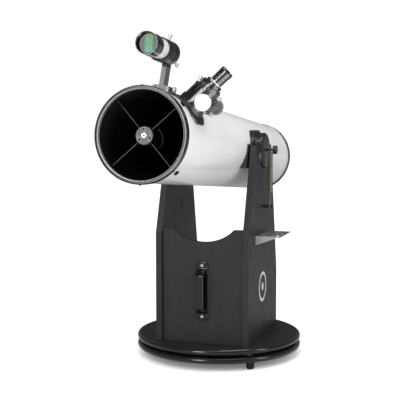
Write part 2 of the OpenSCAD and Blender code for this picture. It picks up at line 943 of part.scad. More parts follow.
module finder_shoe() {
    half = 22;
    color(black) in_finder() difference() {
        translate([0, shoe_back, 0]) rotate([90, 0, 0]) linear_extrude(shoe_back - shoe_front)
            polygon([[-half, 108], [half, 108], [half, shoe_top - 2], [half - 2, shoe_top],
                [slot_narrow, shoe_top], [slot_wide, shoe_floor], [-slot_wide, shoe_floor],
                [-slot_narrow, shoe_top], [2 - half, shoe_top], [-half, shoe_top - 2]]);
        rod_y(tube_r + 0.02, -60, 60, $fn = 240);
        translate([0, shoe_screw_y, shoe_screw_z]) rod_x(2 + fit, 10, 30);
    }
}

module finder_bracket() {
    low = shoe_floor + slip;
    foot_top = shoe_top + 1;
    side = slip + 0.1;
    color([0.13, 0.13, 0.14]) difference() {
        union() {
            on_finder_axis() translate([0, 0, -bracket_drop])
                rod_y(bracket_r, bracket_front, bracket_back, $fn = 128);
            in_finder() translate([-6, -stalk_half, foot_top - 0.5])
                cube([12, 2 * stalk_half, finder_up - bracket_r - foot_top + 4]);
            in_finder() translate([0, shoe_back - 7, 0]) rotate([90, 0, 0])
                linear_extrude(shoe_back - 7 + stalk_half) polygon([[side - slot_wide, low],
                    [slot_wide - side, low], [slot_narrow - side, shoe_top], [slot_narrow - side, foot_top],
                    [side - slot_narrow, foot_top], [side - slot_narrow, shoe_top]]);
        }
        on_finder_axis() {
            translate([0, 0, -bracket_drop]) {
                rod_y(bracket_bore, bracket_front - 1, stalk_half + 1, $fn = 128);
                for (y = [-56, -50, -26, -20, -14]) pipe_y(bracket_r + 2, bracket_r - 1, y - 1, y + 1);
            }
            translate([0, finder_screw_y, 0]) at_angles(concat(finder_screw_angles, [plunger_angle]))
                rod_z(2.5 + fit, 20, 40);
        }
    }
}

module finder_tube() {
    taper = 4;
    wall = 1.5;
    taper_len = finder_end - 2 - taper;
    color(tube_color) on_finder_axis() difference() {
        union() {
            rod_y(finder_r, cell_front + 19, taper);
            translate([0, taper - 0.1, 0]) rotate([-90, 0, 0])
                cylinder(r1 = finder_r, r2 = finder_end_r, h = taper_len);
            rod_y(finder_end_r, taper + taper_len - 0.2, finder_end);
        }
        rod_y(finder_r - wall, cell_front + 18, taper);
        translate([0, taper - 0.1, 0]) rotate([-90, 0, 0])
            cylinder(r1 = finder_r - wall, r2 = finder_end_r - wall, h = taper_len);
        rod_y(finder_end_r - wall, taper + taper_len - 0.2, finder_end + 1);
    }
}

module finder_cell() {
    cell_r_out = finder_cell_d / 2;
    groove_r = cell_r_out - 0.9;
    color(black) on_finder_axis() difference() {
        union() {
            rod_y(cell_r_out, cell_front, cell_back - 1);
            rod_y(cell_r_out - 1, cell_back - 1.1, cell_back);
        }
        rod_y(finder_r, cell_front + 10, cell_back + 1);
        for (y = [9, 14, 19, 34]) pipe_y(cell_r_out + 1, groove_r, cell_front + y, cell_front + y + 1.6);
        rod_y(23.6, cell_front - 1, cell_front + 11);
        translate([0, cell_front - 0.01, 0]) rotate([-90, 0, 0]) cylinder(r1 = 26.2, r2 = 23.6, h = 3);
    }
}

module finder_lens() {
    lens_r = finder_r - 0.05;
    curve = 130;
    back = cell_front + 18.5;
    color([0.35, 0.6, 0.45]) on_finder_axis() intersection() {
        rod_y(lens_r, cell_front + 10.1, back);
        translate([0, cell_front + 7.8 + curve, 0]) sphere(r = curve, $fn = 240);
    }
}

module finder_eyepiece() {
    eye_end = finder_end + 9;
    color(black) on_finder_axis() difference() {
        union() {
            rod_y(finder_end_r - 0.5, finder_end, eye_end);
            rod_y(finder_end_r, finder_end + 3, eye_end - 3);
        }
        rod_y(7, finder_end - 1, eye_end - 4);
        translate([0, eye_end - 4.1, 0]) rotate([-90, 0, 0]) cylinder(r1 = 5.5, r2 = 10, h = 4.2);
    }
}

module finder_screw(i) {
    color(steel) on_finder_axis() translate([0, finder_screw_y, 0]) rotate([0, finder_screw_angles[i], 0])
        thumb_screw(2.5, finder_r + slip, bracket_r + 8, 5.5, 8);
}

module finder_screw_1() {
    finder_screw(0);
}

module finder_screw_2() {
    finder_screw(1);
}

module finder_plunger() {
    color(steel) on_finder_axis() translate([0, finder_screw_y, 0]) rotate([0, plunger_angle, 0]) {
        rod_z(2.5, finder_r + slip, bracket_r + 2);
        rod_z(4.5, bracket_r + 1, bracket_r + 10);
        rod_z(2.5, bracket_r + 9.9, bracket_r + 12);
    }
}

module shoe_screw() {
    color(steel) in_finder() translate([0, shoe_screw_y, shoe_screw_z]) rotate([0, 90, 0])
        thumb_screw(2, 16, 24, 6.5, 8);
}

// ---------- drawing ----------

ground_board();
feet();
glide_pads();
azimuth_bolt();
rocker_board();
side_panel_right();
side_panel_left();
front_board();
carry_handle();
rocker_screws();
panel_screws();
eyepiece_rack();
cradle_pads();
spring_pegs();
tension_springs();
optical_tube();
front_ring();
rear_ring();
ring_screws();
spider_vanes();
vane_nuts();
spider_hub();
secondary_bolt();
secondary_holder();
secondary_mirror();
mirror_cell();
primary_mirror();
mirror_clips();
collimation_springs();
altitude_bearings();
focuser_base();
focuser_body();
finder_shoe();
secondary_screw_1();
secondary_screw_2();
secondary_screw_3();
collimation_knob_1();
collimation_knob_2();
collimation_knob_3();
altitude_knob_right();
altitude_knob_left();
focus_axle();
focus_knobs();
drawtube();
drawtube_collar();
collar_screw_1();
collar_screw_2();
focus_lock_screw();
eyepiece_adapter();
eyepiece_barrel();
eyepiece_body();
finder_bracket();
finder_tube();
finder_cell();
finder_lens();
finder_eyepiece();
finder_screw_1();
finder_screw_2();
finder_plunger();
shoe_screw();
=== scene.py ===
"""Newtonian reflector telescope on its rocker box: materials, detail pieces, studio and camera.

Lengths are in metres in the row frame: +Z up, the tube looks towards -Y, origin under the ground board.
"""

import json
import math

import bmesh
import bpy
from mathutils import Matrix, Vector


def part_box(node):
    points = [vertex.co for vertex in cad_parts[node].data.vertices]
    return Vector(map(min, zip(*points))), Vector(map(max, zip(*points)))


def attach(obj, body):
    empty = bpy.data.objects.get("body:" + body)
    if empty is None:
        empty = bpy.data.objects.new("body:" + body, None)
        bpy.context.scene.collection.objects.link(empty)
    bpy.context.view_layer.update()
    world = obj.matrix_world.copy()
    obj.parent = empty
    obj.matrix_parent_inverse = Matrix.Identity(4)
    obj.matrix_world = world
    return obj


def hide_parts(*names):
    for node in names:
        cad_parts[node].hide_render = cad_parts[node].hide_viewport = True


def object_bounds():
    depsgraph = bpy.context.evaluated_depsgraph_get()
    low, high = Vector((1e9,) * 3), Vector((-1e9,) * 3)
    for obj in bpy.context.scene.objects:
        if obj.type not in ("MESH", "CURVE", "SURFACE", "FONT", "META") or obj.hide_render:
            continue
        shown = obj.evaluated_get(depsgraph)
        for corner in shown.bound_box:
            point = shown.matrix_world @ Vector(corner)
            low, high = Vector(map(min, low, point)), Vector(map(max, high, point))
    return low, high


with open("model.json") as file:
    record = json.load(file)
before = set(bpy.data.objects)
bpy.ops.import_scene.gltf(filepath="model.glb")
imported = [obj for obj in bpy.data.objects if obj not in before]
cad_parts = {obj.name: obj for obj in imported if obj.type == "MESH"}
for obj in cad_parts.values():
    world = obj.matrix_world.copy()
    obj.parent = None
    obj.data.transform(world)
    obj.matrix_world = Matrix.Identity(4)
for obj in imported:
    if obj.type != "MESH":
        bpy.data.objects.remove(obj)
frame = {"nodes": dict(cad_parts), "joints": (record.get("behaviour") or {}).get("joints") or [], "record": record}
CAD_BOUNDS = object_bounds()

MM = 0.001
JOINTS = {joint["name"]: joint for joint in frame["joints"]}
MOUNTS = {mount["name"]: mount for mount in frame["record"]["mounts"]}
AXIS = Vector(JOINTS["altitude"]["pos_m"])             # where the tube's axis meets the altitude axis
FORWARD = Vector(JOINTS["finder_slide"]["axis"])       # along the tube, towards the sky
OUTWARD = Vector(JOINTS["focus"]["axis"])              # along the focuser, away from the tube
AXLE = Vector(JOINTS["focus_turn"]["axis"])            # along the focus knobs' axle
ACROSS = Vector((1.0, 0.0, 0.0))
UPRIGHT = ACROSS.cross(-FORWARD)                       # square to the tube, upwards
BACKWARD = Vector((0.0, 1.0, 0.0))
SKYWARD = Vector((0.0, 0.0, 1.0))

CAMERA_AT = (0.7705, -2.6074, 0.6812)
CAMERA_PITCH = 85.20
CAMERA_YAW = 17.71
CAMERA_LENS = 79.03


def middle(node):
    low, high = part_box(node)
    return (low + high) / 2


def reach(node, direction):
    """Nearest and furthest distance of a node from AXIS, measured along a direction."""
    spots = [(v.co - AXIS).dot(direction) for v in frame["nodes"][node].data.vertices]
    return min(spots), max(spots)


def radii(node, direction, origin=AXIS):
    """Smallest and largest distance of a node's points from a line."""
    spots = [(v.co - origin).cross(direction).length for v in frame["nodes"][node].data.vertices]
    return min(spots), max(spots)


# ---------- node materials ----------

# Noise never carries a surface's roughness across 0.274. The denoiser treats a smoother surface as a mirror,
# and shows the line where the noise crosses over as a thin streak.


class Look:
    """One procedural material. Every helper returns an output socket that can feed another."""

    def __init__(self, name):
        self.material = bpy.data.materials.new(name)
        self.material.use_nodes = True
        self.tree = self.material.node_tree
        self.shader = self.tree.nodes["Principled BSDF"]
        self.place = self.node("ShaderNodeTexCoord").outputs["Object"]

    def node(self, kind, inputs=(), **settings):
        made = self.tree.nodes.new(kind)
        for key, value in settings.items():
            setattr(made, key, value)
        for key, value in dict(inputs).items():
            self.feed(made.inputs[key], value)
        return made

    def feed(self, socket, value):
        if isinstance(value, bpy.types.NodeSocket):
            self.tree.links.new(value, socket)
        elif socket.type == "RGBA" and len(value) == 3:
            socket.default_value = (*value, 1.0)
        else:
            socket.default_value = value

    def set(self, **inputs):
        for key, value in inputs.items():
            self.feed(self.shader.inputs[key.replace("_", " ")], value)
        return self

    def held(self, name):
        """The socket that feeds one of the shader's inputs."""
        return self.shader.inputs[name].links[0].from_socket

    def math(self, operation, a, b=0.0):
        return self.node("ShaderNodeMath", {0: a, 1: b}, operation=operation).outputs[0]

    def stretch(self, scale):
        return self.node("ShaderNodeMapping", {"Vector": self.place, "Scale": scale}).outputs["Vector"]

    def noise(self, scale, detail=4.0, rough=0.55, where=None):
        settings = {"Vector": where or self.place, "Scale": scale, "Detail": detail, "Roughness": rough}
        return self.node("ShaderNodeTexNoise", settings).outputs["Fac"]

    def cells(self, scale):
        return self.node("ShaderNodeTexVoronoi", {"Vector": self.place, "Scale": scale}).outputs["Distance"]

    def span(self, value, low, high, to_low=0.0, to_high=1.0):
        settings = {0: value, 1: low, 2: high, 3: to_low, 4: to_high}
        return self.node("ShaderNodeMapRange", settings, interpolation_type="SMOOTHSTEP").outputs[0]

    def mix(self, share, a, b):
        made = self.node("ShaderNodeMix", data_type="RGBA")
        self.feed(made.inputs["Factor"], share)
        self.feed(made.inputs[6], a)
        self.feed(made.inputs[7], b)
        return made.outputs[2]

    def blend(self, share, a, b):
        made = self.node("ShaderNodeMix", {"Factor": share, 2: a, 3: b}, data_type="FLOAT")
        return made.outputs[0]

    def offset(self, origin):
        settings = {0: self.place, 1: origin}
        return self.node("ShaderNodeVectorMath", settings, operation="SUBTRACT").outputs[0]

    def along(self, direction, origin=AXIS):
        """Distance of a point from the origin, along a direction."""
        settings = {0: self.offset(origin), 1: direction}
        return self.node("ShaderNodeVectorMath", settings, operation="DOT_PRODUCT").outputs["Value"]

    def radius(self, direction=FORWARD, origin=AXIS):
        """Distance of a point from a line."""
        settings = {0: self.offset(origin), 1: direction}
        square = self.node("ShaderNodeVectorMath", settings, operation="CROSS_PRODUCT").outputs[0]
        return self.node("ShaderNodeVectorMath", {0: square}, operation="LENGTH").outputs["Value"]

    def wear(self, low=0.53, high=0.6):
        """1 on convex edges, broken up by noise."""
        point = self.node("ShaderNodeNewGeometry").outputs["Pointiness"]
        edge = self.span(point, low, high)
        return self.math("MULTIPLY", edge, self.span(self.noise(160.0), 0.42, 0.62))

    def bump(self, height, distance, strength=1.0):
        settings = {"Height": height, "Distance": distance, "Strength": strength}
        made = self.node("ShaderNodeBump", settings)
        self.tree.links.new(made.outputs["Normal"], self.shader.inputs["Normal"])
        return self


def shade(color, factor):
    return tuple(min(1.0, c * factor) for c in color)


BOARD_DARK = (0.0125, 0.0135, 0.0155)
BOARD_LIGHT = (0.0165, 0.0178, 0.0205)


def laminate():
    """Charcoal melamine board: faint upright print grain and a fine pebble in the surface."""
    look = Look("laminate_board")
    print_grain = look.noise(55.0, 8.0, 0.7, look.stretch((1.0, 1.0, 0.12)))
    flecks = look.cells(900.0)
    face = look.mix(look.span(print_grain, 0.35, 0.65), BOARD_DARK, BOARD_LIGHT)
    face = look.mix(look.span(flecks, 0.05, 0.3, 0.12, 0.0), face, shade(BOARD_LIGHT, 1.8))
    rough = look.span(look.noise(30.0), 0.3, 0.7, 0.44, 0.50)
    look.set(Base_Color=face, Roughness=rough, Specular_IOR_Level=0.5)
    height = look.math("ADD", look.noise(700.0, 3.0), look.math("MULTIPLY", flecks, 0.6))
    return look.bump(height, 0.00004, 0.2)


def round_board():
    """The same board cut round: laminate on its faces, glossy black moulding round the rim."""
    look = Look("laminate_round")
    moulding = 9 * MM
    board_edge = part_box("rocker_board")[1].x - moulding
    flat = look.span(look.radius(SKYWARD, Vector()), board_edge, board_edge + 1.5 * MM, 1.0, 0.0)
    top_light = shade(BOARD_LIGHT, 0.6)
    face = look.mix(look.span(look.noise(55.0, 8.0, 0.7), 0.35, 0.65), shade(BOARD_DARK, 0.6), top_light)
    rim = look.mix(look.span(look.noise(90.0), 0.4, 0.7), (0.004, 0.004, 0.0045), (0.007, 0.007, 0.008))
    look.set(
        Base_Color=look.mix(flat, rim, face),
        Roughness=look.blend(flat, 0.22, look.span(look.noise(30.0), 0.3, 0.7, 0.50, 0.58)),
        Specular_IOR_Level=0.5,
        Coat_Weight=look.math("SUBTRACT", 1.0, flat),
        Coat_Roughness=0.15,
    )
    return look.bump(look.noise(600.0, 3.0), 0.00004, 0.15)


def enamel(name, color, rough=0.22, coat=0.6, peel=0.00002):
    """Sprayed paint: soft clouding in colour and gloss, and a little orange peel."""
    look = Look(name)
    cloud = look.span(look.noise(3.0, 1.0), 0.3, 0.7)
    base = look.mix(cloud, shade(color, 0.975), shade(color, 1.02))
    look.set(
        Base_Color=base,
        Roughness=look.span(look.noise(5.0, 1.0), 0.3, 0.7, rough * 0.85, rough * 1.2),
        Coat_Weight=coat,
        Coat_Roughness=0.06,
    )
    return look.bump(look.noise(120.0, 1.0), peel, 0.2)


def metal(name, color, rough=0.31, brush=900.0, dark=0.55, depth=0.00004, metallic=1.0):
    """Bare or anodised metal with a fine grain."""
    look = Look(name)
    grain = look.noise(brush, 3.0, 0.6)
    stain = look.span(look.noise(25.0, 5.0), 0.35, 0.7)
    base = look.mix(look.span(grain, 0.3, 0.7), shade(color, 0.88), color)
    base = look.mix(look.math("MULTIPLY", stain, 0.35), base, shade(color, dark))
    base = look.mix(look.math("MULTIPLY", look.wear(), 0.4), base, shade(color, 1.4))
    look.set(
        Base_Color=base,
        Metallic=metallic,
        Roughness=look.span(grain, 0.25, 0.75, rough * 0.9, rough * 1.15),
    )
    return look.bump(grain, depth, 0.3)


def moulded(name, color, rough=0.4, texture=700.0, depth=0.00008, coat=0.0, specular=0.5):
    """Moulded plastic, rubber or black paint with a fine skin."""
    look = Look(name)
    skin = look.noise(texture, 4.0, 0.6)
    base = look.mix(look.span(look.noise(18.0, 4.0), 0.3, 0.7), shade(color, 0.85), shade(color, 1.15))
    base = look.mix(look.math("MULTIPLY", look.wear(), 0.4), base, shade(color, 2.5))
    look.set(
        Base_Color=base,
        Roughness=look.span(skin, 0.3, 0.7, rough * 0.85, min(1.0, rough * 1.2)),
        Coat_Weight=coat,
        Coat_Roughness=0.08,
        Specular_IOR_Level=specular,
    )
    return look.bump(skin, depth, 0.3)


def tube_paint():
    """Gloss silver-white paint outside, matt black paint on the inside of the tube."""
    look = enamel("tube_paint", (0.79, 0.80, 0.81), 0.33, 0.7, 0.00001)
    wall = sum(radii("optical_tube", FORWARD)) / 2
    outside = look.math("GREATER_THAN", look.radius(), wall)
    paint, gloss = look.held("Base Color"), look.held("Roughness")
    black = look.mix(look.span(look.noise(300.0), 0.3, 0.7), (0.0015, 0.0015, 0.0015), (0.004, 0.004, 0.004))
    look.set(
        Base_Color=look.mix(outside, black, paint),
        Roughness=look.blend(outside, 0.9, gloss),
        Coat_Weight=look.math("MULTIPLY", outside, 0.7),
    )
    return look


def vane_paint():
    """Matt black sheet with the sheared front edge showing bare metal."""
    look = moulded("vane_paint", (0.0025, 0.0025, 0.0025), 0.8, 900.0, 0.00004, 0.0, 0.15)
    edge = reach("spider_vanes", FORWARD)[1] - 0.25 * MM
    bare = look.math("GREATER_THAN", look.along(FORWARD), edge)
    black = look.held("Base Color")
    metal_edge = look.mix(look.noise(500.0), (0.09, 0.09, 0.09), (0.18, 0.18, 0.18))
    return look.set(Base_Color=look.mix(bare, black, metal_edge))


def front_ring_metal():
    """Dark casting with its inner lip painted light grey, as a painted highlight along the lip."""
    look = metal("front_ring_metal", (0.085, 0.085, 0.09), 0.22, dark=0.8, depth=0.00001)
    lip_thickness = 1.3 * MM
    lip = radii("front_ring", FORWARD)[0] + lip_thickness
    # painted highlight: the lip is painted light grey and only half metallic, standing in for the bright highlight
    # line along it
    coil_turn_and_lip_highlight = look.math("LESS_THAN", look.radius(), lip)
    dark = look.held("Base Color")
    return look.set(
        Base_Color=look.mix(coil_turn_and_lip_highlight, dark, (0.42, 0.42, 0.42)),
        Metallic=look.math("SUBTRACT", 1.0, look.math("MULTIPLY", coil_turn_and_lip_highlight, 0.5)),
    )


def knob_aluminium():
    """Light satin caps on the focus knobs; their rims and backs are darker, with a fine knurl."""
    look = metal("knob_aluminium", (0.34, 0.345, 0.35), 0.31, brush=300.0, depth=0.00004)
    low, high = reach("focus_knobs", AXLE)
    cap_depth = 4.2 * MM
    half = (high - low) / 2
    from_middle = look.math("ABSOLUTE", look.math("SUBTRACT", look.along(AXLE), (high + low) / 2))
    cap = look.span(from_middle, half - cap_depth - 0.2 * MM, half - cap_depth + 0.2 * MM)
    satin = look.mix(look.span(look.noise(220.0), 0.3, 0.7), (0.56, 0.575, 0.58), (0.60, 0.61, 0.615))
    dark = look.held("Base Color")
    return look.set(
        Base_Color=look.mix(cap, dark, satin),
        Metallic=look.span(cap, 0.0, 1.0, 0.35, 0.1),
    )


def rack_paint():
    """Painted light and shade on one paint: gussets and the front edge painted light grey as lit faces, the tray
    top painted darker as shade.
    """
    look = enamel("rack_paint", (0.30, 0.305, 0.31), 0.45, 0.1)
    tray = Vector(MOUNTS["rack_hole_1"]["pos_m"])
    near_tray, front_edge = 1.0 * MM, 2 * MM
    from_tray = look.math("ABSOLUTE", look.along(SKYWARD, tray))
    on_tray = look.span(from_tray, near_tray - 0.1 * MM, near_tray + 0.1 * MM, 1.0, 0.0)
    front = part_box("eyepiece_rack")[0].y + front_edge
    behind = look.math("GREATER_THAN", look.along(BACKWARD, Vector()), front)
    # painted light and shade: the gussets and front edge keep the light grey as lit faces, the tray top behind the
    # edge gets the darker grey as painted shade
    light = look.held("Base Color")
    dark = look.mix(look.noise(120.0), (0.05, 0.051, 0.053), (0.08, 0.082, 0.084))
    return look.set(Base_Color=look.mix(look.math("MULTIPLY", on_tray, behind), light, dark))


def bracket_metal():
    """Stalk painted grey as a painted reflection; the ring that holds the finder is nearly black."""
    look = metal("bracket_metal", (0.16, 0.168, 0.165), 0.36, depth=0.00003, metallic=0.4)
    finder = middle("finder_tube")
    ring_wall = 10 * MM
    ring_edge = radii("finder_cell", FORWARD, finder)[1] + ring_wall
    # painted reflection: the stalk gets the lighter grey in place of the reflections it shows, the ring round the
    # finder stays nearly black
    stalk = look.span(look.radius(FORWARD, finder), ring_edge - 2 * MM, ring_edge)
    grey = look.held("Base Color")
    black = look.mix(look.noise(200.0), (0.018, 0.018, 0.019), (0.03, 0.03, 0.032))
    return look.set(Base_Color=look.mix(stalk, black, grey))


def hub_casting():
    """Grey front face; the rest of the hub is painted black."""
    look = moulded("hub_casting", (0.12, 0.12, 0.125), 0.55, 400.0, 0.00012)
    front = reach("spider_hub", FORWARD)[1] - 0.8 * MM
    face = look.math("GREATER_THAN", look.along(FORWARD), front)
    grey = look.held("Base Color")
    return look.set(Base_Color=look.mix(face, (0.003, 0.003, 0.003), grey))


def centre_screw():
    """Bright screw; the socket in the middle of its head is painted black, as painted shade in the recess."""
    look = metal("centre_screw", (0.85, 0.85, 0.86), 0.31, depth=0.00001, metallic=0.5)
    socket_r = 2.1 * MM
    # painted shade: a black disc over the socket, where the recess would be in shadow
    socket = look.span(look.radius(), socket_r - 0.2 * MM, socket_r + 0.2 * MM, 1.0, 0.0)
    bright = look.held("Base Color")
    return look.set(Base_Color=look.mix(socket, bright, (0.004, 0.004, 0.004)))


def ring_screw():
    """Black heads outside the end rings, bright tips that show inside them."""
    look = metal("ring_screw", (0.8, 0.8, 0.8), 0.31)
    tip_length = 2.5 * MM
    inner = radii("ring_screws", FORWARD)[0] + tip_length
    head = look.math("GREATER_THAN", look.radius(), inner)
    tip = look.held("Base Color")
    return look.set(Base_Color=look.mix(head, tip, (0.02, 0.02, 0.02)))


def mirror_coat():
    look = Look("mirror_coat")
    dust = look.span(look.noise(420.0, 6.0), 0.62, 0.75)
    look.set(
        Base_Color=look.mix(dust, (0.90, 0.92, 0.94), (0.7, 0.7, 0.7)),
        Metallic=1.0,
        Roughness=look.blend(dust, 0.015, 0.12),
    )
    return look.bump(look.noise(8.0), 0.00001, 0.1)


def flat_mirror():
    """Aluminised face; the rim is ground glass, painted dark grey."""
    look = mirror_coat()
    look.material.name = "flat_mirror"
    rim_from = radii("secondary_mirror", FORWARD)[1] - 0.3 * MM
    rim = look.math("GREATER_THAN", look.radius(), rim_from)
    silver = look.held("Base Color")
    ground = look.mix(look.noise(300.0), (0.16, 0.16, 0.16), (0.24, 0.24, 0.24))
    return look.set(
        Base_Color=look.mix(rim, silver, ground),
        Metallic=look.math("SUBTRACT", 1.0, rim),
        Roughness=look.blend(rim, look.held("Roughness"), 0.55),
    )


def coated_lens():
    """Deep dark lens with a painted reflection: a green band where the coating's reflection shows, olive above and
    teal below.
    """
    look = Look("lens_glass")
    centre = middle("finder_lens")
    shift, half_width, half_height, soft = 3 * MM, 11.5 * MM, 21.5 * MM, 3 * MM
    offset = look.math("ABSOLUTE", look.along(ACROSS, centre + shift * ACROSS))
    ripple = look.math("MULTIPLY", look.noise(60.0), soft)
    # painted reflection: a green band across the lens placed by position, standing in for the coating's reflection
    # of the light
    band = look.span(look.math("ADD", offset, ripple), half_width - soft, half_width + soft, 1.0, 0.0)
    height = look.along(SKYWARD, centre)
    ends = look.span(look.math("ABSOLUTE", height), half_height - soft / 2, half_height + soft / 2, 1.0, 0.0)
    # heights over which the painted reflection's teal turns to green, and green to olive
    teal_to_green, green_to_olive = (-21 * MM, -4 * MM), (2 * MM, 20 * MM)
    green = look.mix(look.span(height, *teal_to_green), (0.002, 0.25, 0.125), (0.005, 0.165, 0.05))
    green = look.mix(look.span(height, *green_to_olive), green, (0.045, 0.16, 0.03))
    look.set(
        Base_Color=look.mix(look.math("MULTIPLY", band, ends), (0.001, 0.002, 0.003), green),
        Roughness=0.06,
        Specular_IOR_Level=0.25,
        Coat_Weight=0.25,
        Coat_Roughness=0.02,
    )
    return look.bump(look.noise(15.0), 0.00001, 0.1)


def eye_glass():
    look = Look("eye_glass")
    look.set(
        Base_Color=look.mix(look.noise(90.0), (0.01, 0.012, 0.03), (0.03, 0.02, 0.06)),
        Roughness=0.05,
        Coat_Weight=0.6,
    )
    return look.bump(look.noise(20.0), 0.00001, 0.1)


LOOKS = {
    "laminate_board": laminate(),
    "round_board": round_board(),
    "glide_plastic": moulded("glide_plastic", (0.62, 0.62, 0.58), 0.35),
    "foot_rubber": moulded("foot_rubber", (0.012, 0.012, 0.012), 0.5, 500.0, 0.0001),
    "zinc_steel": metal("zinc_steel", (0.55, 0.55, 0.57), 0.35),
    "bright_screw": metal("bright_screw", (0.78, 0.78, 0.79), 0.31, depth=0.00001, metallic=0.6),
    "spring_steel": metal("spring_steel", (0.34, 0.325, 0.305), 0.34, dark=0.6, metallic=0.8),
    "black_screw": moulded("black_screw", (0.004, 0.004, 0.004), 0.45),
    "ring_screw": ring_screw(),
    "handle_plastic": moulded("handle_plastic", (0.004, 0.004, 0.0045), 0.2, 600.0, 0.00003, 0.5),
    "rack_paint": rack_paint(),
    "tube_paint": tube_paint(),
    "ring_metal": metal("ring_metal", (0.12, 0.12, 0.125), 0.22, dark=0.8, depth=0.00001),
    "front_ring_metal": front_ring_metal(),
    "grey_casting": metal("grey_casting", (0.13, 0.13, 0.135), 0.5, brush=500.0, depth=0.00006),
    "hub_casting": hub_casting(),
    "centre_screw": centre_screw(),
    "black_paint": moulded("black_paint", (0.004, 0.004, 0.004), 0.6, 900.0, 0.00004, 0.0, 0.3),
    "vane_paint": vane_paint(),
    "black_anodised": moulded("black_anodised", (0.003, 0.0032, 0.004), 0.18, 1200.0, 0.00001, 0.8, 0.9),
    "bearing_plastic": moulded("bearing_plastic", (0.009, 0.009, 0.0095), 0.33, 700.0, 0.00005, 0.3),
    "bracket_metal": bracket_metal(),
    "mirror_coat": mirror_coat(),
    "flat_mirror": flat_mirror(),
    "cell_aluminium": metal("cell_aluminium", (0.42, 0.42, 0.44), 0.45),
    "knob_aluminium": knob_aluminium(),
    "draw_aluminium": metal("draw_aluminium", (0.40, 0.40, 0.42), 0.31),
    "finder_paint": enamel("finder_paint", (0.74, 0.75, 0.76), 0.22, 0.7),
    "lens_glass": coated_lens(),
    "eye_glass": eye_glass(),
    "decal_ink": enamel("decal_ink", (0.55, 0.56, 0.57), 0.5, 0.0),
}

# nodes whose look isn't the one named after their record slot
OWN_LOOKS = {
    "ground_board": "round_board",
    "rocker_board": "round_board",
    "panel_screws": "black_screw",
    "spring_pegs": "black_screw",
    "secondary_screw_1": "black_screw",
    "secondary_screw_2": "black_screw",
    "secondary_screw_3": "black_screw",
    "secondary_bolt": "centre_screw",
    "ring_screws": "ring_screw",
    "focus_axle": "knob_aluminium",
    "spider_vanes": "vane_paint",
    "spider_hub": "hub_casting",
    "secondary_mirror": "flat_mirror",
    "finder_bracket": "bracket_metal",
}


def paint(piece, name):
    piece.data.materials.clear()
    piece.data.materials.append(LOOKS[name].material)


# ---------- CAD nodes ----------

BEVELS = {
    "side_panel_right": 0.8,
    "side_panel_left": 0.8,
    "front_board": 0.8,
    "finder_shoe": 0.6,
    "eyepiece_rack": 0.3,
}
SHARP = math.radians(32)


def dress_cad():
    """Gives every CAD node its material; boards and sheet parts also get a small edge bevel."""
    for part in frame["record"]["subparts"]:
        name = part["node"]
        piece = frame["nodes"][name]
        paint(piece, OWN_LOOKS.get(name, part["material_slot"]))
        if name in BEVELS:
            weld = piece.modifiers.new("weld", "WELD")
            weld.merge_threshold = 0.00001
            bevel = piece.modifiers.new("bevel", "BEVEL")
            bevel.width = BEVELS[name] * MM
            bevel.segments = 2
            bevel.limit_method = "ANGLE"
            bevel.angle_limit = SHARP
            bevel.harden_normals = True


dress_cad()


# ---------- mesh helpers ----------


def new_mesh(name, build, body, look, smooth=True, sharp=SHARP):
    """Makes a mesh piece from a function that fills a bmesh, and lets it ride on a body."""
    mesh = bpy.data.meshes.new(name)
    work = bmesh.new()
    build(work)
    bmesh.ops.recalc_face_normals(work, faces=work.faces)
    for face in work.faces:
        face.smooth = smooth
    for edge in work.edges:
        if len(edge.link_faces) == 2 and edge.calc_face_angle(0.0) > sharp:
            edge.smooth = False
    work.to_mesh(mesh)
    work.free()
    piece = bpy.data.objects.new(name, mesh)
    bpy.context.scene.collection.objects.link(piece)
    paint(piece, look)
    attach(piece, body)
    return piece


def skin(work, loops, closed=False):
    """Joins loops of vertices, one after the other, with faces. Closed joins the last to the first."""
    pairs = list(zip(loops, loops[1:]))
    if closed:
        pairs.append((loops[-1], loops[0]))
    for a, b in pairs:
        for k in range(len(a)):
            n = (k + 1) % len(a)
            work.faces.new((a[k], a[n], b[n], b[k]))


def sweep(work, path, radius, sides=8):
    """A round wire along a list of points, its cross-section carried along without twist."""
    rings = []
    across = None
    for i, point in enumerate(path):
        ahead = (path[min(i + 1, len(path) - 1)] - path[max(i - 1, 0)]).normalized()
        if across is None:
            across = ahead.orthogonal().normalized()
        across = (across - ahead * across.dot(ahead)).normalized()
        other = ahead.cross(across)
        ring = []
        for k in range(sides):
            angle = 2 * math.pi * k / sides
            spot = point + radius * (math.cos(angle) * across + math.sin(angle) * other)
            ring.append(work.verts.new(spot))
        rings.append(ring)
    skin(work, rings)
    work.faces.new(rings[0][::-1])
    work.faces.new(rings[-1])


def arc(centre, radius, start, end, steps, first, second):
    """Points of an arc in the plane of two unit vectors, angles in degrees."""
    points = []
    for i in range(steps + 1):
        angle = math.radians(start + (end - start) * i / steps)
        points.append(centre + radius * (math.cos(angle) * first + math.sin(angle) * second))
    return points


def round_the_tube(work, distance, radius, steps):
    """A circle of vertices square to the tube's axis."""
    centre = AXIS + distance * FORWARD
    return [work.verts.new(p) for p in arc(centre, radius, 0, 360, steps, ACROSS, UPRIGHT)[:-1]]


# ---------- tube and front ring ----------

ROUND = 192                              # facets round the tube


def build_tube(work):
    """The rolled tube: a true pipe, with square cut ends."""
    rear, front = reach("optical_tube", FORWARD)
    bore, outer = radii("optical_tube", FORWARD)
    lengths = 24
    outside, inside = [], []
    for i in range(lengths + 1):
        distance = rear + (front - rear) * i / lengths
        outside.append(round_the_tube(work, distance, outer, ROUND))
        inside.append(round_the_tube(work, distance, bore, ROUND))
    skin(work, outside + inside[::-1], closed=True)


